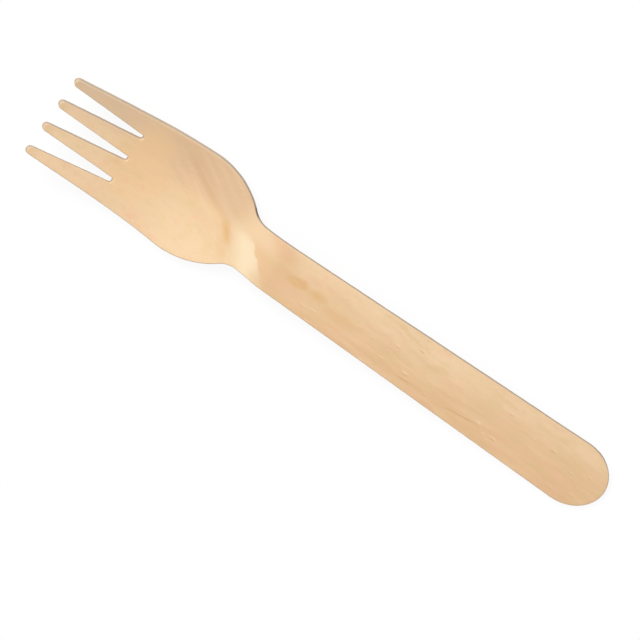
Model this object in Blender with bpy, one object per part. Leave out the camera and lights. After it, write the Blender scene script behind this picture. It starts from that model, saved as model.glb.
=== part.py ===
"""Disposable four-tine fork, stamped from birch veneer and hot-pressed to shape.

The fork is one piece of even thickness. A flat blank is cut to the outline with its
slots, its rim is rounded all the way round, and a press then bends it: the neck ramps
down from the flat handle, the head is dished across, and the tines turn up again.
It lies as it comes to rest, on the underside of the bowl and on the end of the handle.
The tines point to -X, the handle's end to +X, and the hollow side is up.
"""

import math

import bpy
import bmesh
from mathutils import Matrix, Vector

MM = 0.001

# Sheet
VENEER = 1.6 * MM
EDGE_ROUND = 0.3 * MM

# Outline of the blank
FORK_LENGTH = 160.0 * MM
TINE_SPAN = 21.8 * MM  # over the outer tines, at their tips
HEAD_WIDTH = 26.5 * MM  # over the shoulders
SHOULDER_FROM_TIPS = 39.1 * MM  # to the widest place
SHOULDER_RADIUS = 20.9 * MM
NECK_WIDTH = 12.5 * MM
NECK_RADIUS = 5.8 * MM
FLAT_BEHIND_NECK = 7.9 * MM  # from the narrowest place to where the flat handle begins
HANDLE_FRONT_WIDTH = 13.0 * MM  # where the flat handle begins
HANDLE_END_WIDTH = 16.2 * MM  # where the rounded end begins
HANDLE_CAP = 9.8 * MM  # length of the rounded end, half an ellipse

# Slots between the tines
TINE_COUNT = 4
SLOT_LENGTH = 21.4 * MM
SLOT_AT_TIPS = 4.65 * MM
SLOT_AT_ROOTS = 1.2 * MM

# Pressed form, with heights measured from the handle's top face
RAMP_LENGTH = 11.9 * MM  # from the flat handle down to the bowl's edge
RAMP_DROP = 2.9 * MM
RAMP_FOOT_SLOPE = 0.25
BOWL_FROM_TIPS = 33.7 * MM  # to the lowest place
BOWL_DEPTH = 6.7 * MM
TIP_RISE = 0.6 * MM
TIP_SLOPE = 0.25
BOWL_DISH = 1.55 * MM  # from the middle of the bowl up to its sides
TIP_DISH = 1.5 * MM
DISH_FLOOR = 4.0 * MM  # width of the level middle that the head stands on

# Fineness of the mesh
HEAD_STEP = 1.5 * MM
TINE_STEP = 2.0 * MM
HANDLE_STEP = 12.0 * MM
TINE_COLUMNS = 6
SLOT_COLUMNS = 4
EDGE_STEPS = 2
SLOPE_PROBE = 0.05 * MM
WELD = 0.001 * MM

BIRCH_COLOUR = (0.80, 0.56, 0.34, 1.0)
BIRCH_ROUGHNESS = 0.6

# The flat face of the blank stops short of the outline by the rounding of its rim
FACE_TIPS = EDGE_ROUND - FORK_LENGTH / 2
FACE_END = FORK_LENGTH / 2 - EDGE_ROUND
FACE_ROOTS = SLOT_LENGTH - SLOT_AT_ROOTS / 2 - FORK_LENGTH / 2
FACE_SPAN = TINE_SPAN / 2 - EDGE_ROUND
FACE_SHOULDER_RADIUS = SHOULDER_RADIUS - EDGE_ROUND
FACE_NECK_RADIUS = NECK_RADIUS + EDGE_ROUND

BOWL_X = BOWL_FROM_TIPS - FORK_LENGTH / 2
CAP_X = FORK_LENGTH / 2 - HANDLE_CAP
COLUMNS = TINE_COUNT * TINE_COLUMNS + (TINE_COUNT - 1) * SLOT_COLUMNS


def smooth(share):
    """An even S-curve from 0 to 1, flat at both ends."""
    share = min(max(share, 0.0), 1.0)
    return share * share * (3.0 - 2.0 * share)


def hermite(x, start, end):
    """The curve between two stations, each given as its X, height and slope."""
    length = end[0] - start[0]
    t = (x - start[0]) / length
    return (
        (1 + 2 * t) * (1 - t) ** 2 * start[1]
        + t * (1 - t) ** 2 * length * start[2]
        + t * t * (3 - 2 * t) * end[1]
        + t * t * (t - 1) * length * end[2]
    )


# Arcs of the outline: the shoulder's centre, and the neck's, tangent to it
SHOULDER_X = SHOULDER_FROM_TIPS - FORK_LENGTH / 2
SHOULDER_Y = HEAD_WIDTH / 2 - SHOULDER_RADIUS
NECK_Y = NECK_WIDTH / 2 + NECK_RADIUS
NECK_X = SHOULDER_X + math.sqrt(
    (SHOULDER_RADIUS + NECK_RADIUS) ** 2 - (NECK_Y - SHOULDER_Y) ** 2
)
ARCS_MEET_X = SHOULDER_X + (NECK_X - SHOULDER_X) * FACE_SHOULDER_RADIUS / (
    SHOULDER_RADIUS + NECK_RADIUS
)
FLAT_X = NECK_X + FLAT_BEHIND_NECK


def head_side():
    """The head's straight side: its slope, and where it touches the shoulder's arc."""
    run = SHOULDER_X - FACE_TIPS
    rise = SHOULDER_Y - FACE_SPAN
    reach = math.hypot(run, rise)
    angle = math.atan2(rise, run) + math.asin(FACE_SHOULDER_RADIUS / reach)
    touch_x = SHOULDER_X - FACE_SHOULDER_RADIUS * math.sin(angle)
    return math.tan(angle), touch_x


SIDE_SLOPE, SIDE_END_X = head_side()


def half_width(x):
    """Half the width of the blank's flat face, up to the handle's rounded end."""
    if x < SIDE_END_X:
        return FACE_SPAN + (x - FACE_TIPS) * SIDE_SLOPE
    if x < ARCS_MEET_X:
        return SHOULDER_Y + math.sqrt(FACE_SHOULDER_RADIUS**2 - (x - SHOULDER_X) ** 2)
    if x < NECK_X:
        return NECK_Y - math.sqrt(FACE_NECK_RADIUS**2 - (x - NECK_X) ** 2)
    if x < FLAT_X:
        widening = smooth((x - NECK_X) / (FLAT_X - NECK_X))
        width = NECK_WIDTH + (HANDLE_FRONT_WIDTH - NECK_WIDTH) * widening
        return width / 2 - EDGE_ROUND
    widening = min((x - FLAT_X) / (CAP_X - FLAT_X), 1.0)
    width = HANDLE_FRONT_WIDTH + (HANDLE_END_WIDTH - HANDLE_FRONT_WIDTH) * widening
    return width / 2 - EDGE_ROUND


def slot_width(x):
    """Width of a slot between the flat faces of two tines."""
    share = (x - FACE_TIPS) / (FACE_ROOTS - FACE_TIPS)
    width = SLOT_AT_TIPS + (SLOT_AT_ROOTS - SLOT_AT_TIPS) * share
    return width + 2 * EDGE_ROUND


def round_spacing(column, columns):
    """From -1 to 1, spaced as points that are even round half a circle."""
    return -math.cos(math.pi * column / columns)


def tine_edge(tine, x):
    """Y of a tine's right edge, and the width of its face."""
    width = (2 * half_width(x) - (TINE_COUNT - 1) * slot_width(x)) / TINE_COUNT
    return tine * (width + slot_width(x)) - half_width(x), width


def across_tine(tine, column, x):
    edge, width = tine_edge(tine, x)
    return edge + width * (1 + round_spacing(column, TINE_COLUMNS)) / 2


def across_slot(slot, column, x):
    edge, width = tine_edge(slot, x)
    return edge + width + slot_width(x) * (1 + round_spacing(column, SLOT_COLUMNS)) / 2


def across_roots(column):
    """Y of one of the whole blank's columns on the line where the slots end."""
    strip, place = divmod(column, TINE_COLUMNS + SLOT_COLUMNS)
    if place <= TINE_COLUMNS:
        return across_tine(strip, place, FACE_ROOTS)
    return across_slot(strip, place - TINE_COLUMNS, FACE_ROOTS)


def across_blank(column, x):
    """Y of a column behind the slots, which spread evenly towards the handle."""
    at_roots = across_roots(column) / half_width(FACE_ROOTS)
    at_handle = round_spacing(column, COLUMNS)
    spread = smooth((x - FACE_ROOTS) / (FLAT_X - FACE_ROOTS))
    return half_width(x) * (at_roots + (at_handle - at_roots) * spread)


def tine_tip(column):
    """X of a tine's round tip in one of its columns."""
    radius = tine_edge(0, FACE_TIPS)[1] / 2
    return FACE_TIPS + radius * (1 - math.sin(math.pi * column / TINE_COLUMNS))


def slot_root(column):
    """X of the line behind the tines, which rounds off each slot."""
    place = column % (TINE_COLUMNS + SLOT_COLUMNS) - TINE_COLUMNS
    if place <= 0:
        return FACE_ROOTS
    return FACE_ROOTS + slot_width(FACE_ROOTS) / 2 * math.sin(math.pi * place / SLOT_COLUMNS)


def handle_end(column):
    """X of the handle's rounded end in one of the blank's columns."""
    return CAP_X + (FACE_END - CAP_X) * math.sin(math.pi * column / COLUMNS)


def add_patch(blank, columns, step, start, end, across):
    """Fills the blank between two cross lines with a grid of quads.

    start and end give a column's X on the two lines, and across its Y at an X.
    """
    rows = math.ceil((end(0) - start(0)) / step)
    lines = []
    for row in range(rows + 1):
        line = []
        for column in range(columns + 1):
            x = start(column) + (end(column) - start(column)) * row / rows
            line.append(blank.verts.new((x, across(column, x), 0.0)))
        lines.append(line)
    for line, next_line in zip(lines, lines[1:]):
        for column in range(columns):
            blank.faces.new(
                (line[column], next_line[column], next_line[column + 1], line[column + 1])
            )


def stamp_face():
    """The flat top face of the blank, as a sheet of quads."""
    blank = bmesh.new()
    for tine in range(TINE_COUNT):
        add_patch(
            blank,
            TINE_COLUMNS,
            TINE_STEP,
            tine_tip,
            lambda column: FACE_ROOTS,
            lambda column, x: across_tine(tine, column, x),
        )
    add_patch(blank, COLUMNS, HEAD_STEP, slot_root, lambda column: FLAT_X, across_blank)
    add_patch(blank, COLUMNS, HANDLE_STEP, lambda column: FLAT_X, handle_end, across_blank)
    bmesh.ops.remove_doubles(blank, verts=blank.verts, dist=WELD)
    return blank


def rim_profile():
    """How far out and how deep the rim's steps lie, from the top face to the back."""
    profile = []
    for step in range(EDGE_STEPS + 1):
        angle = math.pi / 2 * step / EDGE_STEPS
        profile.append((EDGE_ROUND * math.sin(angle), EDGE_ROUND * (1 - math.cos(angle))))
    return profile + [(out, VENEER - depth) for out, depth in reversed(profile)]


def rim_direction(vert):
    """The direction in the sheet that leads straight out of it at a rim vertex."""
    out = Vector((0.0, 0.0, 0.0))
    for edge in vert.link_edges:
        if edge.is_boundary:
            loop = edge.link_loops[0]
            along = loop.link_loop_next.vert.co - loop.vert.co
            out += Vector((along.y, -along.x, 0.0)).normalized()
    return out.normalized()


def thicken(blank):
    """Adds the rounded rim and the back to the blank's top face."""
    top_faces = list(blank.faces)
    rim_edges = [edge for edge in blank.edges if edge.is_boundary]
    rings = {}
    for vert in [vert for vert in blank.verts if vert.is_boundary]:
        out = rim_direction(vert)
        rings[vert] = [(vert.co + out * reach, depth) for reach, depth in rim_profile()]
    back = {}
    for vert in list(blank.verts):
        back[vert] = blank.verts.new(vert.co - Vector((0.0, 0.0, VENEER)))
    for vert, places in rings.items():
        steps = [
            blank.verts.new(place - Vector((0.0, 0.0, depth)))
            for place, depth in places[1:-1]
        ]
        rings[vert] = [vert] + steps + [back[vert]]
    for edge in rim_edges:
        loop = edge.link_loops[0]
        first = rings[loop.vert]
        second = rings[loop.link_loop_next.vert]
        for step in range(len(first) - 1):
            blank.faces.new((second[step], first[step], first[step + 1], second[step + 1]))
    for face in top_faces:
        blank.faces.new([back[vert] for vert in reversed(face.verts)])


def press_line(x):
    """Height of the pressed sheet's top face along the middle of the fork."""
    tips = (-FORK_LENGTH / 2, TIP_RISE, -TIP_SLOPE)
    bowl = (BOWL_X, -BOWL_DEPTH, 0.0)
    foot = (FLAT_X - RAMP_LENGTH, -RAMP_DROP, RAMP_FOOT_SLOPE)
    flat = (FLAT_X, 0.0, 0.0)
    for start, end in ((tips, bowl), (bowl, foot), (foot, flat)):
        if x < end[0]:
            return hermite(x, start, end)
    return 0.0


def press_height(x, y):
    """Height of the pressed sheet's top face, with the dish across the head."""
    if x < BOWL_X:
        share = smooth((x + FORK_LENGTH / 2) / BOWL_FROM_TIPS)
        dish = TIP_DISH + (BOWL_DISH - TIP_DISH) * share
    else:
        dish = BOWL_DISH * smooth((FLAT_X - x) / (FLAT_X - BOWL_X))
    off_floor = max(abs(y) - DISH_FLOOR / 2, 0.0)
    rise = 1 - math.cos(math.pi * off_floor / (HEAD_WIDTH - DISH_FLOOR))
    return press_line(x) + dish * rise


def press(blank):
    """Bends the flat blank, which keeps its thickness square to the sheet."""
    for vert in blank.verts:
        x, y, depth = vert.co
        rise_x = press_height(x + SLOPE_PROBE, y) - press_height(x - SLOPE_PROBE, y)
        rise_y = press_height(x, y + SLOPE_PROBE) - press_height(x, y - SLOPE_PROBE)
        normal = Vector((-rise_x, -rise_y, 2 * SLOPE_PROBE)).normalized()
        vert.co = Vector((x, y, press_height(x, y))) + depth * normal


def lay_down(blank):
    """Tips the fork onto its bowl and the handle's end, and centres it on the origin."""
    places = [vert.co for vert in blank.verts]
    heel = max(places, key=lambda place: place.x - place.z)
    tilt = max(
        math.atan2(heel.z - place.z, heel.x - place.x) for place in places if place.x < FLAT_X
    )
    bmesh.ops.rotate(blank, matrix=Matrix.Rotation(tilt, 3, "Y"), verts=blank.verts)
    lowest = min(place.z for place in places)
    middle = (min(place.x for place in places) + max(place.x for place in places)) / 2
    bmesh.ops.translate(blank, vec=(-middle, 0.0, -lowest), verts=blank.verts)


def birch():
    material = bpy.data.materials.new("birch_veneer")
    material.use_nodes = True
    shader = material.node_tree.nodes["Principled BSDF"]
    shader.inputs["Base Color"].default_value = BIRCH_COLOUR
    shader.inputs["Roughness"].default_value = BIRCH_ROUGHNESS
    shader.inputs["Metallic"].default_value = 0.0
    return material


def make_fork():
    blank = stamp_face()
    thicken(blank)
    press(blank)
    lay_down(blank)
    mesh = bpy.data.meshes.new("fork")
    blank.to_mesh(mesh)
    blank.free()
    mesh.materials.append(birch())
    mesh.shade_smooth()
    mesh.set_sharp_from_angle(angle=math.radians(50))
    fork = bpy.data.objects.new("fork", mesh)
    bpy.context.scene.collection.objects.link(fork)


for old in list(bpy.data.objects):
    bpy.data.objects.remove(old)
make_fork()
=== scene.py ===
"""Looks of the disposable birch fork: its veneer, the light, the floor and the camera.

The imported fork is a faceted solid. Here the same blank is stamped and pressed again,
much finer and a little uneven as real veneer is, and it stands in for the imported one.
Every point of the fork keeps its place in the flat blank, in the attribute "sheet": how
far along the grain it lies, how far across, and how deep. The wood is drawn from that.
"""

import math
from types import SimpleNamespace

import bmesh
import bpy
from mathutils import Matrix, Vector, noise


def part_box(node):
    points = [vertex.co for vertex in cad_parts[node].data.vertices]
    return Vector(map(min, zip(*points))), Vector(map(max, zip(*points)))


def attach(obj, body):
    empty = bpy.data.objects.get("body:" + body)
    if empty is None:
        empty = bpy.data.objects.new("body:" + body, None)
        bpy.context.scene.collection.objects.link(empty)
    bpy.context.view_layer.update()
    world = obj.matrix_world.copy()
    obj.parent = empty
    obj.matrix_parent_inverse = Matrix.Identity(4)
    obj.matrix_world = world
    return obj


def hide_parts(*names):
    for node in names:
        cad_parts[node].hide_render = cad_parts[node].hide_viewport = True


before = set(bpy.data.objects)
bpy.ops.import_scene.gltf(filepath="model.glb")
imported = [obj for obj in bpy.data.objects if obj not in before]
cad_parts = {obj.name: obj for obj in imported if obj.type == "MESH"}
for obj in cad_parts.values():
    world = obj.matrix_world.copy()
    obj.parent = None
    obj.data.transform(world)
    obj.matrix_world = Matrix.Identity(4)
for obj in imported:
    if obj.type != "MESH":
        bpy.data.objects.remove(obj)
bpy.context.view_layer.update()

MM = 0.001

# Sheet
VENEER = 1.6 * MM
EDGE_ROUND = 0.3 * MM

# Outline of the blank
FORK_LENGTH = 160.0 * MM
TINE_SPAN = 21.8 * MM  # over the outer tines, at their tips
HEAD_WIDTH = 26.5 * MM  # over the shoulders
SHOULDER_FROM_TIPS = 39.1 * MM  # to the widest place
SHOULDER_RADIUS = 20.9 * MM
NECK_WIDTH = 12.5 * MM
NECK_RADIUS = 5.8 * MM
FLAT_BEHIND_NECK = 7.9 * MM  # from the narrowest place to where the flat handle begins
HANDLE_FRONT_WIDTH = 13.0 * MM  # where the flat handle begins
HANDLE_END_WIDTH = 16.2 * MM  # where the rounded end begins
HANDLE_CAP = 9.8 * MM  # length of the rounded end, half an ellipse

# Slots between the tines
TINE_COUNT = 4
SLOT_LENGTH = 21.4 * MM
SLOT_AT_TIPS = 4.65 * MM
SLOT_AT_ROOTS = 1.2 * MM

# Pressed form, with heights measured from the handle's top face
RAMP_LENGTH = 11.9 * MM  # from the flat handle down to the bowl's edge
RAMP_DROP = 2.9 * MM
RAMP_FOOT_SLOPE = 0.25
BOWL_FROM_TIPS = 33.7 * MM  # to the lowest place
BOWL_DEPTH = 6.7 * MM
TIP_RISE = 0.6 * MM
TIP_SLOPE = 0.25
BOWL_DISH = 1.55 * MM  # from the middle of the bowl up to its sides
TIP_DISH = 1.5 * MM
DISH_FLOOR = 4.0 * MM  # width of the level middle that the head stands on

# Unevenness of the pressed veneer
WARP = 0.06 * MM  # slow waves
WARP_REACH = (24.0 * MM, 9.0 * MM)
RIDGE = 0.016 * MM  # the grain standing proud
RIDGE_REACH = (13.0 * MM, 0.9 * MM)
FRAY = 0.035 * MM  # roughness of the cut
FRAY_INWARD = 0.6  # keeps nearly all of it inside the outline
FRAY_REACH = 0.9 * MM

# Fineness of the mesh
HEAD_STEP = 0.45 * MM
TINE_STEP = 0.5 * MM
HANDLE_STEP = 0.8 * MM
TINE_COLUMNS = 14
SLOT_COLUMNS = 8
EDGE_STEPS = 4
SLOPE_PROBE = 0.05 * MM
WELD = 0.001 * MM

# Camera, from the photograph's outline
PHOTO_SIDE = 640
CAMERA_AZIMUTH = math.radians(107.9)
CAMERA_ELEVATION = math.radians(74.6)
CAMERA_ROLL = math.radians(35.35)
CAMERA_DISTANCE = 1.64
PIXELS_PER_METRE = 4221.0
LOOK_AT = Vector((0.54 * MM, -4.5 * MM, 5.0 * MM))
SENSOR = 36.0
CAMERA_CLIP = (0.05, 50.0)

# The flat face of the blank stops short of the outline by the rounding of its rim
FACE_TIPS = EDGE_ROUND - FORK_LENGTH / 2
FACE_END = FORK_LENGTH / 2 - EDGE_ROUND
FACE_ROOTS = SLOT_LENGTH - SLOT_AT_ROOTS / 2 - FORK_LENGTH / 2
FACE_SPAN = TINE_SPAN / 2 - EDGE_ROUND
FACE_SHOULDER_RADIUS = SHOULDER_RADIUS - EDGE_ROUND
FACE_NECK_RADIUS = NECK_RADIUS + EDGE_ROUND

BOWL_X = BOWL_FROM_TIPS - FORK_LENGTH / 2
CAP_X = FORK_LENGTH / 2 - HANDLE_CAP
COLUMNS = TINE_COUNT * TINE_COLUMNS + (TINE_COUNT - 1) * SLOT_COLUMNS


def smooth(share):
    """An even S-curve from 0 to 1, flat at both ends."""
    share = min(max(share, 0.0), 1.0)
    return share * share * (3.0 - 2.0 * share)


def hermite(x, start, end):
    """The curve between two stations, each given as its X, height and slope."""
    length = end[0] - start[0]
    t = (x - start[0]) / length
    return (
        (1 + 2 * t) * (1 - t) ** 2 * start[1]
        + t * (1 - t) ** 2 * length * start[2]
        + t * t * (3 - 2 * t) * end[1]
        + t * t * (t - 1) * length * end[2]
    )


# Arcs of the outline: the shoulder's centre, and the neck's, tangent to it
SHOULDER_X = SHOULDER_FROM_TIPS - FORK_LENGTH / 2
SHOULDER_Y = HEAD_WIDTH / 2 - SHOULDER_RADIUS
NECK_Y = NECK_WIDTH / 2 + NECK_RADIUS
NECK_X = SHOULDER_X + math.sqrt(
    (SHOULDER_RADIUS + NECK_RADIUS) ** 2 - (NECK_Y - SHOULDER_Y) ** 2
)
ARCS_MEET_X = SHOULDER_X + (NECK_X - SHOULDER_X) * FACE_SHOULDER_RADIUS / (
    SHOULDER_RADIUS + NECK_RADIUS
)
FLAT_X = NECK_X + FLAT_BEHIND_NECK


def head_side():
    """The head's straight side: its slope, and where it touches the shoulder's arc."""
    run = SHOULDER_X - FACE_TIPS
    rise = SHOULDER_Y - FACE_SPAN
    reach = math.hypot(run, rise)
    angle = math.atan2(rise, run) + math.asin(FACE_SHOULDER_RADIUS / reach)
    touch_x = SHOULDER_X - FACE_SHOULDER_RADIUS * math.sin(angle)
    return math.tan(angle), touch_x


SIDE_SLOPE, SIDE_END_X = head_side()


def half_width(x):
    """Half the width of the blank's flat face, up to the handle's rounded end."""
    if x < SIDE_END_X:
        return FACE_SPAN + (x - FACE_TIPS) * SIDE_SLOPE
    if x < ARCS_MEET_X:
        return SHOULDER_Y + math.sqrt(FACE_SHOULDER_RADIUS**2 - (x - SHOULDER_X) ** 2)
    if x < NECK_X:
        return NECK_Y - math.sqrt(FACE_NECK_RADIUS**2 - (x - NECK_X) ** 2)
    if x < FLAT_X:
        widening = smooth((x - NECK_X) / (FLAT_X - NECK_X))
        width = NECK_WIDTH + (HANDLE_FRONT_WIDTH - NECK_WIDTH) * widening
        return width / 2 - EDGE_ROUND
    widening = min((x - FLAT_X) / (CAP_X - FLAT_X), 1.0)
    width = HANDLE_FRONT_WIDTH + (HANDLE_END_WIDTH - HANDLE_FRONT_WIDTH) * widening
    return width / 2 - EDGE_ROUND


def slot_width(x):
    """Width of a slot between the flat faces of two tines."""
    share = (x - FACE_TIPS) / (FACE_ROOTS - FACE_TIPS)
    width = SLOT_AT_TIPS + (SLOT_AT_ROOTS - SLOT_AT_TIPS) * share
    return width + 2 * EDGE_ROUND


def round_spacing(column, columns):
    """From -1 to 1, spaced as points that are even round half a circle."""
    return -math.cos(math.pi * column / columns)


def tine_edge(tine, x):
    """Y of a tine's right edge, and the width of its face."""
    width = (2 * half_width(x) - (TINE_COUNT - 1) * slot_width(x)) / TINE_COUNT
    return tine * (width + slot_width(x)) - half_width(x), width


def across_tine(tine, column, x):
    edge, width = tine_edge(tine, x)
    return edge + width * (1 + round_spacing(column, TINE_COLUMNS)) / 2


def across_slot(slot, column, x):
    edge, width = tine_edge(slot, x)
    return edge + width + slot_width(x) * (1 + round_spacing(column, SLOT_COLUMNS)) / 2


def across_roots(column):
    """Y of one of the whole blank's columns on the line where the slots end."""
    strip, place = divmod(column, TINE_COLUMNS + SLOT_COLUMNS)
    if place <= TINE_COLUMNS:
        return across_tine(strip, place, FACE_ROOTS)
    return across_slot(strip, place - TINE_COLUMNS, FACE_ROOTS)


def across_blank(column, x):
    """Y of a column behind the slots, which spread evenly towards the handle."""
    at_roots = across_roots(column) / half_width(FACE_ROOTS)
    at_handle = round_spacing(column, COLUMNS)
    spread = smooth((x - FACE_ROOTS) / (FLAT_X - FACE_ROOTS))
    return half_width(x) * (at_roots + (at_handle - at_roots) * spread)


def tine_tip(column):
    """X of a tine's round tip in one of its columns."""
    radius = tine_edge(0, FACE_TIPS)[1] / 2
    return FACE_TIPS + radius * (1 - math.sin(math.pi * column / TINE_COLUMNS))


def slot_root(column):
    """X of the line behind the tines, which rounds off each slot."""
    place = column % (TINE_COLUMNS + SLOT_COLUMNS) - TINE_COLUMNS
    if place <= 0:
        return FACE_ROOTS
    return FACE_ROOTS + slot_width(FACE_ROOTS) / 2 * math.sin(math.pi * place / SLOT_COLUMNS)


def handle_end(column):
    """X of the handle's rounded end in one of the blank's columns."""
    return CAP_X + (FACE_END - CAP_X) * math.sin(math.pi * column / COLUMNS)


def add_patch(blank, columns, step, start, end, across):
    """Fills the blank between two cross lines with a grid of quads.

    start and end give a column's X on the two lines, and across its Y at an X.
    """
    rows = math.ceil((end(0) - start(0)) / step)
    lines = []
    for row in range(rows + 1):
        line = []
        for column in range(columns + 1):
            x = start(column) + (end(column) - start(column)) * row / rows
            line.append(blank.verts.new((x, across(column, x), 0.0)))
        lines.append(line)
    for line, next_line in zip(lines, lines[1:]):
        for column in range(columns):
            blank.faces.new(
                (line[column], next_line[column], next_line[column + 1], line[column + 1])
            )


def stamp_face():
    """The flat top face of the blank, as a sheet of quads."""
    blank = bmesh.new()
    for tine in range(TINE_COUNT):
        add_patch(
            blank,
            TINE_COLUMNS,
            TINE_STEP,
            tine_tip,
            lambda column: FACE_ROOTS,
            lambda column, x: across_tine(tine, column, x),
        )
    add_patch(blank, COLUMNS, HEAD_STEP, slot_root, lambda column: FLAT_X, across_blank)
    add_patch(blank, COLUMNS, HANDLE_STEP, lambda column: FLAT_X, handle_end, across_blank)
    bmesh.ops.remove_doubles(blank, verts=blank.verts, dist=WELD)
    return blank


def rim_profile():
    """How far out and how deep the rim's steps lie, from the top face to the back."""
    profile = []
    for step in range(EDGE_STEPS + 1):
        angle = math.pi / 2 * step / EDGE_STEPS
        profile.append((EDGE_ROUND * math.sin(angle), EDGE_ROUND * (1 - math.cos(angle))))
    return profile + [(out, VENEER - depth) for out, depth in reversed(profile)]


def rim_direction(vert):
    """The direction in the sheet that leads straight out of it at a rim vertex."""
    out = Vector((0.0, 0.0, 0.0))
    for edge in vert.link_edges:
        if edge.is_boundary:
            loop = edge.link_loops[0]
            along = loop.link_loop_next.vert.co - loop.vert.co
            out += Vector((along.y, -along.x, 0.0)).normalized()
    return out.normalized()


def thicken(blank):
    """Adds the rounded rim, a little frayed, and the back to the blank's top face."""
    top_faces = list(blank.faces)
    rim_edges = [edge for edge in blank.edges if edge.is_boundary]
    rings = {}
    for vert in [vert for vert in blank.verts if vert.is_boundary]:
        out = rim_direction(vert)
        places = []
        for reach, depth in rim_profile():
            fray = noise.noise((vert.co + out * reach - Vector((0.0, 0.0, depth))) / FRAY_REACH)
            share = reach / EDGE_ROUND
            places.append((vert.co + out * (reach + FRAY * (fray - FRAY_INWARD) * share), depth))
        rings[vert] = places
    back = {}
    for vert in list(blank.verts):
        back[vert] = blank.verts.new(vert.co - Vector((0.0, 0.0, VENEER)))
    for vert, places in rings.items():
        steps = [
            blank.verts.new(place - Vector((0.0, 0.0, depth)))
            for place, depth in places[1:-1]
        ]
        rings[vert] = [vert] + steps + [back[vert]]
    for edge in rim_edges:
        loop = edge.link_loops[0]
        first = rings[loop.vert]
        second = rings[loop.link_loop_next.vert]
        for step in range(len(first) - 1):
            blank.faces.new((second[step], first[step], first[step + 1], second[step + 1]))
    for face in top_faces:
        blank.faces.new([back[vert] for vert in reversed(face.verts)])


def press_line(x):
    """Height of the pressed sheet's top face along the middle of the fork."""
    tips = (-FORK_LENGTH / 2, TIP_RISE, -TIP_SLOPE)
    bowl = (BOWL_X, -BOWL_DEPTH, 0.0)
    foot = (FLAT_X - RAMP_LENGTH, -RAMP_DROP, RAMP_FOOT_SLOPE)
    flat = (FLAT_X, 0.0, 0.0)
    for start, end in ((tips, bowl), (bowl, foot), (foot, flat)):
        if x < end[0]:
            return hermite(x, start, end)
    return 0.0


def unevenness(x, y):
    """Slow waves in the pressed veneer, and the grain that stands proud of it.

    The waves die out towards the tips, which keep their height.
    """
    waves = noise.noise(Vector((x / WARP_REACH[0], y / WARP_REACH[1], 3.7)))
    waves *= smooth((x + FORK_LENGTH / 2) / WARP_REACH[0])
    ridges = noise.noise(Vector((x / RIDGE_REACH[0], y / RIDGE_REACH[1], 8.1)))
    return WARP * waves + RIDGE * ridges


def press_height(x, y):
    """Height of the pressed sheet's top face, with the dish across the head."""
    if x < BOWL_X:
        share = smooth((x + FORK_LENGTH / 2) / BOWL_FROM_TIPS)
        dish = TIP_DISH + (BOWL_DISH - TIP_DISH) * share
    else:
        dish = BOWL_DISH * smooth((FLAT_X - x) / (FLAT_X - BOWL_X))
    off_floor = max(abs(y) - DISH_FLOOR / 2, 0.0)
    rise = 1 - math.cos(math.pi * off_floor / (HEAD_WIDTH - DISH_FLOOR))
    return press_line(x) + dish * rise + unevenness(x, y)


def press(blank):
    """Bends the flat blank, which keeps its thickness square to the sheet."""
    for vert in blank.verts:
        x, y, depth = vert.co
        rise_x = press_height(x + SLOPE_PROBE, y) - press_height(x - SLOPE_PROBE, y)
        rise_y = press_height(x, y + SLOPE_PROBE) - press_height(x, y - SLOPE_PROBE)
        normal = Vector((-rise_x, -rise_y, 2 * SLOPE_PROBE)).normalized()
        vert.co = Vector((x, y, press_height(x, y))) + depth * normal


def lay_down(blank):
    """Tips the fork onto its bowl and the handle's end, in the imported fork's place."""
    places = [vert.co for vert in blank.verts]
    heel = max(places, key=lambda place: place.x - place.z)
    tilt = max(
        math.atan2(heel.z - place.z, heel.x - place.x) for place in places if place.x < FLAT_X
    )
    bmesh.ops.rotate(blank, matrix=Matrix.Rotation(tilt, 3, "Y"), verts=blank.verts)
    low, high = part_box("fork")
    lowest = min(place.z for place in places)
    middle = (min(place.x for place in places) + max(place.x for place in places)) / 2
    shift = ((low[0] + high[0]) / 2 - middle, 0.0, low[2] - lowest)
    bmesh.ops.translate(blank, vec=shift, verts=blank.verts)


def make_fork(material):
    blank = stamp_face()
    thicken(blank)
    blank.verts.index_update()
    flat_places = [tuple(vert.co) for vert in blank.verts]
    press(blank)
    lay_down(blank)
    mesh = bpy.data.meshes.new("birch_fork")
    blank.to_mesh(mesh)
    blank.free()
    sheet = mesh.attributes.new("sheet", "FLOAT_VECTOR", "POINT")
    for place, flat_place in zip(sheet.data, flat_places):
        place.vector = flat_place
    mesh.materials.append(material)
    mesh.shade_smooth()
    fork = bpy.data.objects.new("birch_fork", mesh)
    bpy.context.scene.collection.objects.link(fork)
    return fork


def linear(red, green, blue):
    """A colour for a shader, from its 0 to 255 screen values."""
    channels = []
    for value in (red, green, blue):
        share = value / 255
        if share <= 0.04045:
            channels.append(share / 12.92)
        else:
            channels.append(((share + 0.055) / 1.055) ** 2.4)
    return (*channels, 1.0)


def give(value, socket):
    """Gives a node's input a field, or a value that is the same everywhere."""
    if isinstance(value, Field):
        value.feed(socket)
    else:
        socket.default_value = value


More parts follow.
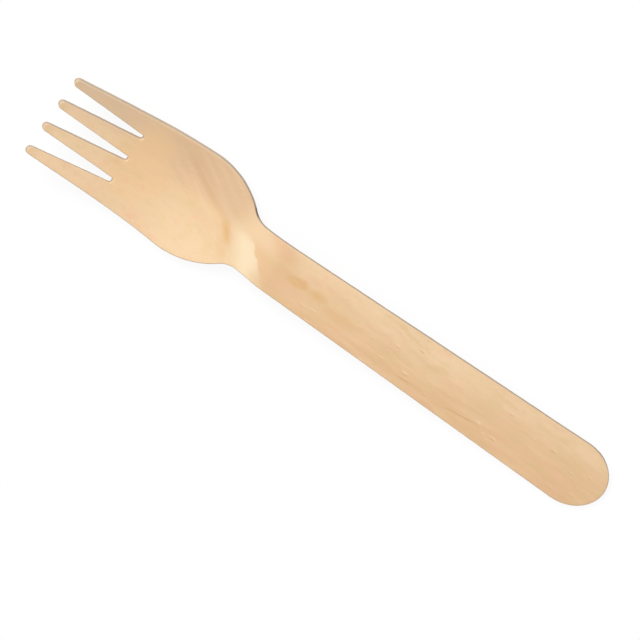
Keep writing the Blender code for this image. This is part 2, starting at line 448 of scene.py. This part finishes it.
class Field:
    """A number or a colour that varies over a surface: one output of a material's nodes."""

    def __init__(self, tree, socket):
        self.tree = tree
        self.socket = socket

    def feed(self, socket):
        """Gives this field to a node's input."""
        self.tree.links.new(self.socket, socket)

    def math(self, operation, *values):
        node = self.tree.nodes.new("ShaderNodeMath")
        node.operation = operation
        for value, socket in zip((self, *values), node.inputs):
            give(value, socket)
        return Field(self.tree, node.outputs[0])

    def __add__(self, other):
        return self.math("ADD", other)

    def __sub__(self, other):
        return self.math("SUBTRACT", other)

    def __rsub__(self, other):
        return self.math("MULTIPLY", -1.0).math("ADD", other)

    def __mul__(self, other):
        return self.math("MULTIPLY", other)

    def __truediv__(self, other):
        return self.math("DIVIDE", other)

    def size(self):
        return self.math("ABSOLUTE")

    def squared(self):
        return self.math("MULTIPLY", self)

    def ease(self, start, end):
        """From 0 at start to 1 at end, without a corner; start may be the larger."""
        node = self.tree.nodes.new("ShaderNodeMapRange")
        node.interpolation_type = "SMOOTHSTEP"
        node.clamp = True
        self.feed(node.inputs["Value"])
        low, high = min(start, end), max(start, end)
        node.inputs["From Min"].default_value = low
        node.inputs["From Max"].default_value = high
        node.inputs["To Min"].default_value = 0.0 if start < end else 1.0
        node.inputs["To Max"].default_value = 1.0 if start < end else 0.0
        return Field(self.tree, node.outputs["Result"])


def joined(x, y, z):
    """A place from its three coordinates; a plain number may stand for any but x."""
    node = x.tree.nodes.new("ShaderNodeCombineXYZ")
    for value, socket in zip((x, y, z), node.inputs):
        give(value, socket)
    return Field(x.tree, node.outputs[0])


def cloud(x, y, z, detail=2.0, roughness=0.5):
    """Smooth noise around 0, whose waves are about one unit of each coordinate long.

    A plain number for z only picks one of the patterns.
    """
    node = x.tree.nodes.new("ShaderNodeTexNoise")
    joined(x, y, z).feed(node.inputs["Vector"])
    node.inputs["Scale"].default_value = 1.0
    node.inputs["Detail"].default_value = detail
    node.inputs["Roughness"].default_value = roughness
    return (Field(x.tree, node.outputs["Fac"]) - 0.5) * 2.0


def flecks(x, y, z, share, radius):
    """Spots scattered one to a unit cell, in a share of the cells: 1 within, 0 outside."""
    node = x.tree.nodes.new("ShaderNodeTexVoronoi")
    joined(x, y, z).feed(node.inputs["Vector"])
    node.inputs["Scale"].default_value = 1.0
    distance = Field(x.tree, node.outputs["Distance"])
    split = x.tree.nodes.new("ShaderNodeSeparateColor")
    x.tree.links.new(node.outputs["Color"], split.inputs[0])
    present = Field(x.tree, split.outputs[0]).ease(share + 0.02, share - 0.02)
    strength = Field(x.tree, split.outputs[1]) * 0.7 + 0.3
    return distance.ease(radius, radius * 0.35) * present * strength


def spot(x, y, centre, reach, rough=None):
    """1 at a centre, fading to 0 at a reach on both axes; rough makes its edge uneven."""
    across = ((x - centre[0]) / reach[0]).squared()
    distance = across + ((y - centre[1]) / reach[1]).squared()
    if rough is not None:
        distance = distance + rough
    return distance.ease(1.0, 0.0)


def tinted(colour, tint, share):
    """A colour moved towards a tint by a field."""
    node = share.tree.nodes.new("ShaderNodeMix")
    node.data_type = "RGBA"
    node.clamp_factor = True
    share.feed(node.inputs["Factor"])
    for value, name in ((colour, "A"), (tint, "B")):
        socket = next(s for s in node.inputs if s.name == name and s.type == "RGBA")
        give(value, socket)
    result = next(s for s in node.outputs if s.type == "RGBA")
    return Field(share.tree, result)


# Colours of the wood, from bare birch to its marks and its cut edge, with a painted sheen and a
# painted shade among them
BIRCH = linear(235, 198, 154)
PALE = linear(243, 209, 167)
BROWN = linear(231, 189, 144)
TAN = linear(222, 186, 147)
HONEY = linear(238, 205, 163)
AMBER = linear(243, 202, 151)
# a pale cream for the neck's ramp, partly paler wood and partly painted sheen
CREAM_SHEEN = linear(245, 224, 187)
PINK = linear(237, 191, 152)
YELLOW = linear(228, 196, 146)
GREY = linear(216, 194, 166)
OCHRE = linear(222, 174, 110)
DARK_GRAIN = linear(200, 154, 106)
LIGHT_GRAIN = linear(252, 222, 182)
CUT = linear(233, 210, 183)
END_GRAIN = linear(206, 180, 150)
# a painted shade for the cut edge
EDGE_SHADE = linear(90, 66, 48)

# Every place and size of the wood below is in millimetres of the flat blank: along it from
# its middle towards the handle's end, across it, and in depth. Where a mark comes in over
# a distance, the first number is where it starts to show and the second where it is full.
HEAD_FROM = (-12.0, -24.0)
TINES_FROM = (-54.0, -66.0)
TIPS_FROM = (-76.0, -79.5)
HANDLE_GRAIN_FROM = (-22.0, 0.0)
HANDLE_GRAIN_ELSEWHERE = 0.3  # share of the handle's grain that the head has
BANDS_STRONG_FROM = (2.0, 10.0)
BANDS_STRONG_UNTIL = (42.0, 28.0)  # where that ends, and where it is still full
BROWNER_FROM = (20.0, 62.0)
PALER_SIDE_FROM = (6.0, 20.0)

# Spots of a slow change in tone, one of them partly painted sheen: tint, centre, reach,
# unevenness of the edge and strength
TONE_AND_SHEEN_SPOTS = (
    (AMBER, (-55.0, 0.0), (10.0, 12.0), 0.6, 0.7),
    # darkens the handle just behind the top of the ramp
    (BROWN, (-16.0, 0.0), (8.0, 9.0), 0.5, 0.95),
    # paler at the foot of the ramp on its lower side: partly the wood's own tone, partly painted
    # sheen
    (PALE, (-31.0, -7.0), (7.0, 5.5), 0.5, 0.6),
)

# Growth rings round the shoulder
RING_AREA = ((-38.0, 6.0), (15.0, 9.5))  # centre and reach
RING_THROUGH = (-40.0, 6.2)  # a place on the darkest ring
RING_SLANT = 0.55  # of the rings towards the fork's middle

# The pale patch at the neck, partly paler wood and partly painted sheen on the ramp: its two
# sides, which slant, and its upper end
SHEEN_PATCH_HANDLE_SIDE = (-21.1, -22.0)
SHEEN_PATCH_BOWL_SIDE = (-29.7, -24.7)
SHEEN_PATCH_UPPER_END = (5.0, 0.5)
SHEEN_PATCH_LEAN = 0.68  # of its side towards the bowl
NECK_STREAKS = (  # centre, reach across the fork and strength
    ((-29.7, -0.5), 3.6, 0.72),
    ((-28.8, -4.2), 3.2, 0.26),
)

# Marks along the handle
OCHRE_SLANT = 0.07  # of the streaks across the fork
OCHRE_STREAKS = (  # centre, reach and strength
    ((-9.0, 0.7), (3.9, 1.7), 0.62),
    ((-3.4, 0.3), (3.9, 1.6), 0.50),
    ((3.5, -1.4), (7.0, 2.2), 0.2),
)
LINE_SLANT = 0.09
LINE_TAPER = 2.5  # over which a line fades at its ends
DARK_LINES = ((35.5, 45.5, -4.15), (22.0, 27.5, -4.7))  # start, end and place across

# Length, width and depth of the grain's marks, or of the cells that hold one mark each
BAND_CELL = (13.0, 1.7, 3.0)
STREAK_CELL = (3.4, 0.62, 0.6)
FIBRE_CELL = (0.9, 0.26, 0.2)
DASH_CELL = (5.6, 1.3, 0.9)
PORE_CELL = (1.7, 1.1, 0.5)
LAYER_CELL = (9.0, 9.0, 0.16)
DASH_SHARE = 0.66  # of the cells hold one
DASH_RADIUS = 0.23  # in cells
DASH_LIT_SIDE = 0.338  # from a dash's painted shaded line across to its painted lit one
PORE_SHARE = 0.10
PORE_RADIUS = 0.13

# The cut edge
CUT_FROM = (0.02, 0.18)  # below either face
# where the cut edge at the neck's upper side is darkened with painted shade
SHADED_EDGE_SPOT = ((-26.0, 8.9), (2.4, 2.4))  # centre and reach

WOOD_ROUGHNESS = 0.42
RELIEF_STRENGTH = 0.5
RELIEF_DEPTH = 0.03 * MM


def layered(colour, *tints):
    """A colour moved towards one tint after another, each by its own field."""
    for tint, share in tints:
        colour = tinted(colour, tint, share)
    return colour


def in_cells(x, y, depth, cell):
    """A place counted in cells, which are as long, wide and deep as given."""
    return x / cell[0], y / cell[1], depth / cell[2]


def sheet_place(tree):
    """Where a point lies in the flat blank, in millimetres: along, across and deep."""
    sheet = tree.nodes.new("ShaderNodeAttribute")
    sheet.attribute_type = "GEOMETRY"
    sheet.attribute_name = "sheet"
    split = tree.nodes.new("ShaderNodeSeparateXYZ")
    tree.links.new(sheet.outputs["Vector"], split.inputs[0])
    return [Field(tree, output) / MM for output in split.outputs]


def broad_tones(x, y):
    """The wood without its grain: slow changes from one part of the fork to the next, with
    painted sheen and painted shade across the head.
    """
    drift = cloud(x / 16.0, y / 6.0, 5.1, 3.0)
    side = y + drift * 3.0
    head = x.ease(*HEAD_FROM)
    handle = 1.0 - head
    tines = x.ease(*TINES_FROM)
    bowl = head * (1.0 - tines)

    # The handle is paler on one side, in the wood's own tone, and the bowl on the other, where
    # it is partly painted sheen
    colour = layered(
        BIRCH,
        (PALE, side.ease(-1.0, 6.5) * handle),
        (BROWN, side.ease(0.5, -6.0) * handle),
        (BROWN, x.ease(*BROWNER_FROM) * 0.6),
        (PALE, y.ease(1.5, 6.0) * x.ease(*PALER_SIDE_FROM) * 0.7),
        # the bowl's lower side paler: partly the wood's own tone, partly painted sheen
        (HONEY, side.ease(3.0, -5.0) * bowl),
        # the bowl's upper side darker: partly the wood's own tone, partly painted shade
        (TAN, side.ease(0.0, 6.5) * x.ease(-60.0, -48.0) * head),
        (PALE, side.ease(9.0, 2.0) * tines),
        (GREY, side.ease(1.0, 10.0) * tines * 0.5),
        (TAN, x.ease(*TIPS_FROM) * 0.5),
    )
    for tint, centre, reach, unevenness_share, share in TONE_AND_SHEEN_SPOTS:
        area = spot(x, y, centre, reach, drift * unevenness_share)
        colour = tinted(colour, tint, area * share)

    # Patches of a pinker and a yellower wood
    hue = cloud(x / 6.0, y / 3.5, 11.6, 3.0, 0.75)
    return layered(colour, (PINK, hue * 1.5), (YELLOW, hue * -1.5))


def shoulder_rings_and_shade(colour, x, y, ragged):
    """Adds the growth rings that the press bent round the shoulder, and a darker outer shoulder
    that is partly painted shade.
    """
    ring = y + (x - RING_THROUGH[0]) * RING_SLANT - RING_THROUGH[1] + ragged * 0.3
    shoulder = spot(x, y, *RING_AREA)
    rings = cloud(x / 30.0, ring / 1.7, 6.4, 1.0)
    return layered(
        colour,
        # darker beyond the darkest ring, towards the shoulder's edge: partly the wood, partly
        # painted shade
        (TAN, (ring + ragged).ease(-0.5, 2.0) * shoulder * 0.7),
        (DARK_GRAIN, rings * shoulder * 0.5),
        (PALE, rings * shoulder * -1.2),
        (DARK_GRAIN, ring.size().ease(1.6, 0.0) * shoulder * 0.22),
    )


def neck_sheen_patch(colour, x, y, ragged, drift):
    """Adds the pale patch where the head bends up, partly paler wood and partly painted sheen,
    and the ochre streaks beside it.
    """
    slant = x + y + ragged * 1.1
    lean = x + y * SHEEN_PATCH_LEAN
    sides = slant.ease(*SHEEN_PATCH_HANDLE_SIDE) * (lean + drift).ease(*SHEEN_PATCH_BOWL_SIDE)
    sheen_patch = sides * (y + ragged + drift).ease(*SHEEN_PATCH_UPPER_END)
    fading = (x + drift * 2.0).ease(-17.0, -21.0) * 0.75 + 0.25
    above = slant.ease(-12.0, -17.0) * x.ease(-31.0, -24.0) * y.ease(0.5, 4.0)
    # the cream patch is partly paler wood and partly a painted sheen on the ramp
    colour = layered(colour, (CREAM_SHEEN, sheen_patch * fading * 0.86), (HONEY, above * 0.95))
    for centre, reach, share in NECK_STREAKS:
        off_streak = lean - (centre[0] + centre[1] * SHEEN_PATCH_LEAN) + ragged * 0.4
        streak = off_streak.size().ease(1.9, 0.0) * (y - centre[1]).size().ease(reach, 0.3)
        colour = tinted(colour, OCHRE, streak * share)
    return colour


def handle_marks(colour, x, y, ragged, drift):
    """Adds the ochre streaks at the front of the handle, and two dark lines of grain."""
    run = y - x * OCHRE_SLANT + ragged * 0.25
    ochre = run * 0.0
    for centre, reach, share in OCHRE_STREAKS:
        ochre = ochre.math("MAXIMUM", spot(x, run, centre, reach, drift * 0.5) * share)
    colour = tinted(colour, OCHRE, ochre)
    for start, end, place in DARK_LINES:
        off_line = y - place - (x - (start + end) / 2) * LINE_SLANT + ragged * 0.12
        along = x.ease(start, start + LINE_TAPER) * x.ease(end, end - LINE_TAPER)
        colour = tinted(colour, DARK_GRAIN, off_line.size().ease(0.32, 0.05) * along * 0.5)
    return colour


def figure(colour, x, y):
    """Adds the marks that this fork has at its shoulder, at its neck and on its handle, with
    painted shade on the shoulder and painted sheen at the neck.
    """
    ragged = cloud(x / 1.3, y / 0.9, 1.7, 3.0)
    drift = cloud(x / 5.0, y / 4.0, 7.9)
    colour = shoulder_rings_and_shade(colour, x, y, ragged)
    colour = neck_sheen_patch(colour, x, y, ragged, drift)
    return handle_marks(colour, x, y, ragged, drift)


def wood_grain(x, y, depth):
    """The marks of the grain, which runs along the fork and wanders a little across it."""
    wander = cloud(x / 45.0, y / 14.0, 2.3) * 3.0 + cloud(x / 3.0, y / 2.2, 9.4) * 0.8
    across = y + wander
    handle = x.ease(*HANDLE_GRAIN_FROM) * (1.0 - HANDLE_GRAIN_ELSEWHERE) + HANDLE_GRAIN_ELSEWHERE
    stronger = x.ease(*BANDS_STRONG_FROM) * x.ease(*BANDS_STRONG_UNTIL) * 0.6 + 1.0
    streaks = cloud(*in_cells(x, across, depth, STREAK_CELL))
    fibres = cloud(*in_cells(x, across, depth, FIBRE_CELL))
    # Each dash is a fleck of the grain drawn as a pair: a painted shaded line, and beside it a
    # painted lit line
    shaded_cells = in_cells(x, across, depth, DASH_CELL)
    lit_cells = in_cells(x, across - DASH_LIT_SIDE, depth, DASH_CELL)
    return SimpleNamespace(
        bands=cloud(*in_cells(x, across, depth, BAND_CELL)) * stronger * handle,
        streaks=streaks * handle,
        fibres=fibres,
        relief=(streaks + fibres) * handle,
        shaded_dashes=flecks(*shaded_cells, DASH_SHARE, DASH_RADIUS) * handle,
        lit_dashes=flecks(*lit_cells, DASH_SHARE, DASH_RADIUS) * handle,
        pores=flecks(*in_cells(x, across, depth, PORE_CELL), PORE_SHARE, PORE_RADIUS),
    )


def end_grain(tree):
    """1 on the parts of the cut edge that face along the fork, 0 on those along its sides."""
    geometry = tree.nodes.new("ShaderNodeNewGeometry")
    facing = tree.nodes.new("ShaderNodeSeparateXYZ")
    tree.links.new(geometry.outputs["Normal"], facing.inputs[0])
    return Field(tree, facing.outputs[0]).size().ease(0.35, 0.95)


def cut_share(depth):
    """1 in the cut edge between the two faces, 0 on the faces."""
    half = VENEER / MM / 2
    from_face = (depth + half).size() * -1.0 + half
    return from_face.ease(*CUT_FROM)


def relief(grain):
    """The fine relief of the grain, as a field for a shader's normal."""
    height = grain.relief * 0.3 + grain.lit_dashes * 0.8
    height = height - grain.shaded_dashes * 0.8 - grain.pores * 0.6
    bump = height.tree.nodes.new("ShaderNodeBump")
    bump.inputs["Strength"].default_value = RELIEF_STRENGTH
    bump.inputs["Distance"].default_value = RELIEF_DEPTH
    height.feed(bump.inputs["Height"])
    return Field(height.tree, bump.outputs["Normal"])


def birch():
    """The fork's wood: its tones, its marks, its grain and its greyer, layered cut edge, with
    painted shade on the cut edge at the neck and painted lit and shaded sides on the grain's
    dashes.
    """
    material = bpy.data.materials.new("birch_veneer")
    material.use_nodes = True
    tree = material.node_tree
    shader = tree.nodes["Principled BSDF"]
    x, y, depth = sheet_place(tree)
    grain = wood_grain(x, y, depth)
    cut = cut_share(depth)
    layers = cloud(*in_cells(x, y, depth, LAYER_CELL))
    edge_shade = spot(x, y, *SHADED_EDGE_SPOT, grain.fibres * 0.3)
    colour = layered(
        figure(broad_tones(x, y), x, y),
        (DARK_GRAIN, grain.bands * 0.27),
        (LIGHT_GRAIN, grain.bands * -0.36),
        (DARK_GRAIN, grain.streaks * 0.08),
        (LIGHT_GRAIN, grain.streaks * -0.10),
        (DARK_GRAIN, grain.fibres * 0.04),
        (LIGHT_GRAIN, grain.fibres * -0.045),
        # the grain's flecks, each with a painted shaded side and a painted lit side
        (DARK_GRAIN, grain.shaded_dashes * 0.38),
        (LIGHT_GRAIN, grain.lit_dashes * 0.52),
        (DARK_GRAIN, grain.pores * 0.3),
        (CUT, cut * 0.8),
        (END_GRAIN, cut * (end_grain(tree) * 0.3 + layers * 0.35 + 0.1)),
        # painted shade on the cut edge at the neck's upper side
        (EDGE_SHADE, cut * edge_shade * 0.9),
    )
    roughness = grain.relief * 0.05 + cut * 0.3 + WOOD_ROUGHNESS
    colour.feed(shader.inputs["Base Color"])
    roughness.feed(shader.inputs["Roughness"])
    relief(grain).feed(shader.inputs["Normal"])
    return material


# Floor and light, in metres and watts
FLOOR_SIDE = 8.0
FLOOR_COLOUR = (0.1, 0.1, 0.1, 1.0)
FLOOR_LIFT = 0.91  # what the camera sees on top of the floor's own reflection
SKY_LEVEL = 0.5
KEY_AZIMUTH = math.radians(145)
KEY_ELEVATION = math.radians(50)
KEY_DISTANCE = 1.2
KEY_SIDE = 0.5
KEY_POWER = 9.5


def seen_rays(tree):
    """1 where a ray comes from the camera or from a mirror-like reflection, otherwise 0."""
    path = tree.nodes.new("ShaderNodeLightPath")
    seen = Field(tree, path.outputs["Is Camera Ray"])
    for name in ("Is Glossy Ray", "Is Transmission Ray"):
        seen = seen.math("MAXIMUM", Field(tree, path.outputs[name]))
    return seen


def floor_material():
    material = bpy.data.materials.new("white_floor")
    material.use_nodes = True
    tree = material.node_tree
    shader = tree.nodes["Principled BSDF"]
    shader.inputs["Base Color"].default_value = FLOOR_COLOUR
    shader.inputs["Roughness"].default_value = 0.9
    shader.inputs["Specular IOR Level"].default_value = 0.0
    shader.inputs["Emission Color"].default_value = (1.0, 1.0, 1.0, 1.0)
    lift = seen_rays(tree) * FLOOR_LIFT
    lift.feed(shader.inputs["Emission Strength"])
    return material


def make_floor():
    mesh = bpy.data.meshes.new("floor")
    half = FLOOR_SIDE / 2
    corners = [(-half, -half, 0.0), (half, -half, 0.0), (half, half, 0.0), (-half, half, 0.0)]
    mesh.from_pydata(corners, [], [(0, 1, 2, 3)])
    mesh.materials.append(floor_material())
    floor = bpy.data.objects.new("floor", mesh)
    bpy.context.scene.collection.objects.link(floor)


def direction(azimuth, elevation):
    """The direction from the fork to a place at an azimuth from +X and an elevation."""
    level = math.cos(elevation)
    return Vector((level * math.cos(azimuth), level * math.sin(azimuth), math.sin(elevation)))


def make_light():
    world = bpy.data.worlds.new("studio")
    world.use_nodes = True
    tree = world.node_tree
    background = tree.nodes["Background"]
    background.inputs["Color"].default_value = (1.0, 1.0, 1.0, 1.0)
    level = seen_rays(tree) * (1.0 - SKY_LEVEL) + SKY_LEVEL
    level.feed(background.inputs["Strength"])
    bpy.context.scene.world = world

    lamp = bpy.data.lights.new("key", "AREA")
    lamp.shape = "SQUARE"
    lamp.size = KEY_SIDE
    lamp.energy = KEY_POWER
    key = bpy.data.objects.new("key", lamp)
    towards = direction(KEY_AZIMUTH, KEY_ELEVATION)
    key.location = towards * KEY_DISTANCE
    key.rotation_euler = towards.to_track_quat("Z", "Y").to_euler()
    bpy.context.scene.collection.objects.link(key)


def make_camera():
    """The photograph's camera: almost above the fork, which lies aslant in the picture."""
    towards = direction(CAMERA_AZIMUTH, CAMERA_ELEVATION)
    along = Vector((1.0, 0.0, 0.0))
    along = (along - along.dot(towards) * towards).normalized()
    upwards = towards.cross(along)
    right = math.cos(CAMERA_ROLL) * along + math.sin(CAMERA_ROLL) * upwards
    up = math.cos(CAMERA_ROLL) * upwards - math.sin(CAMERA_ROLL) * along
    lens = bpy.data.cameras.new("camera")
    lens.sensor_width = SENSOR
    lens.lens = PIXELS_PER_METRE * CAMERA_DISTANCE / PHOTO_SIDE * SENSOR
    lens.clip_start, lens.clip_end = CAMERA_CLIP
    camera = bpy.data.objects.new("camera", lens)
    camera.matrix_world = Matrix.Translation(LOOK_AT + towards * CAMERA_DISTANCE) @ Matrix(
        (right, up, towards)
    ).transposed().to_4x4()
    bpy.context.scene.collection.objects.link(camera)
    bpy.context.scene.camera = camera


make_camera()
make_light()
make_floor()
bpy.context.scene.view_settings.view_transform = "Standard"

fork = make_fork(birch())
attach(fork, "root")
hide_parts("fork")
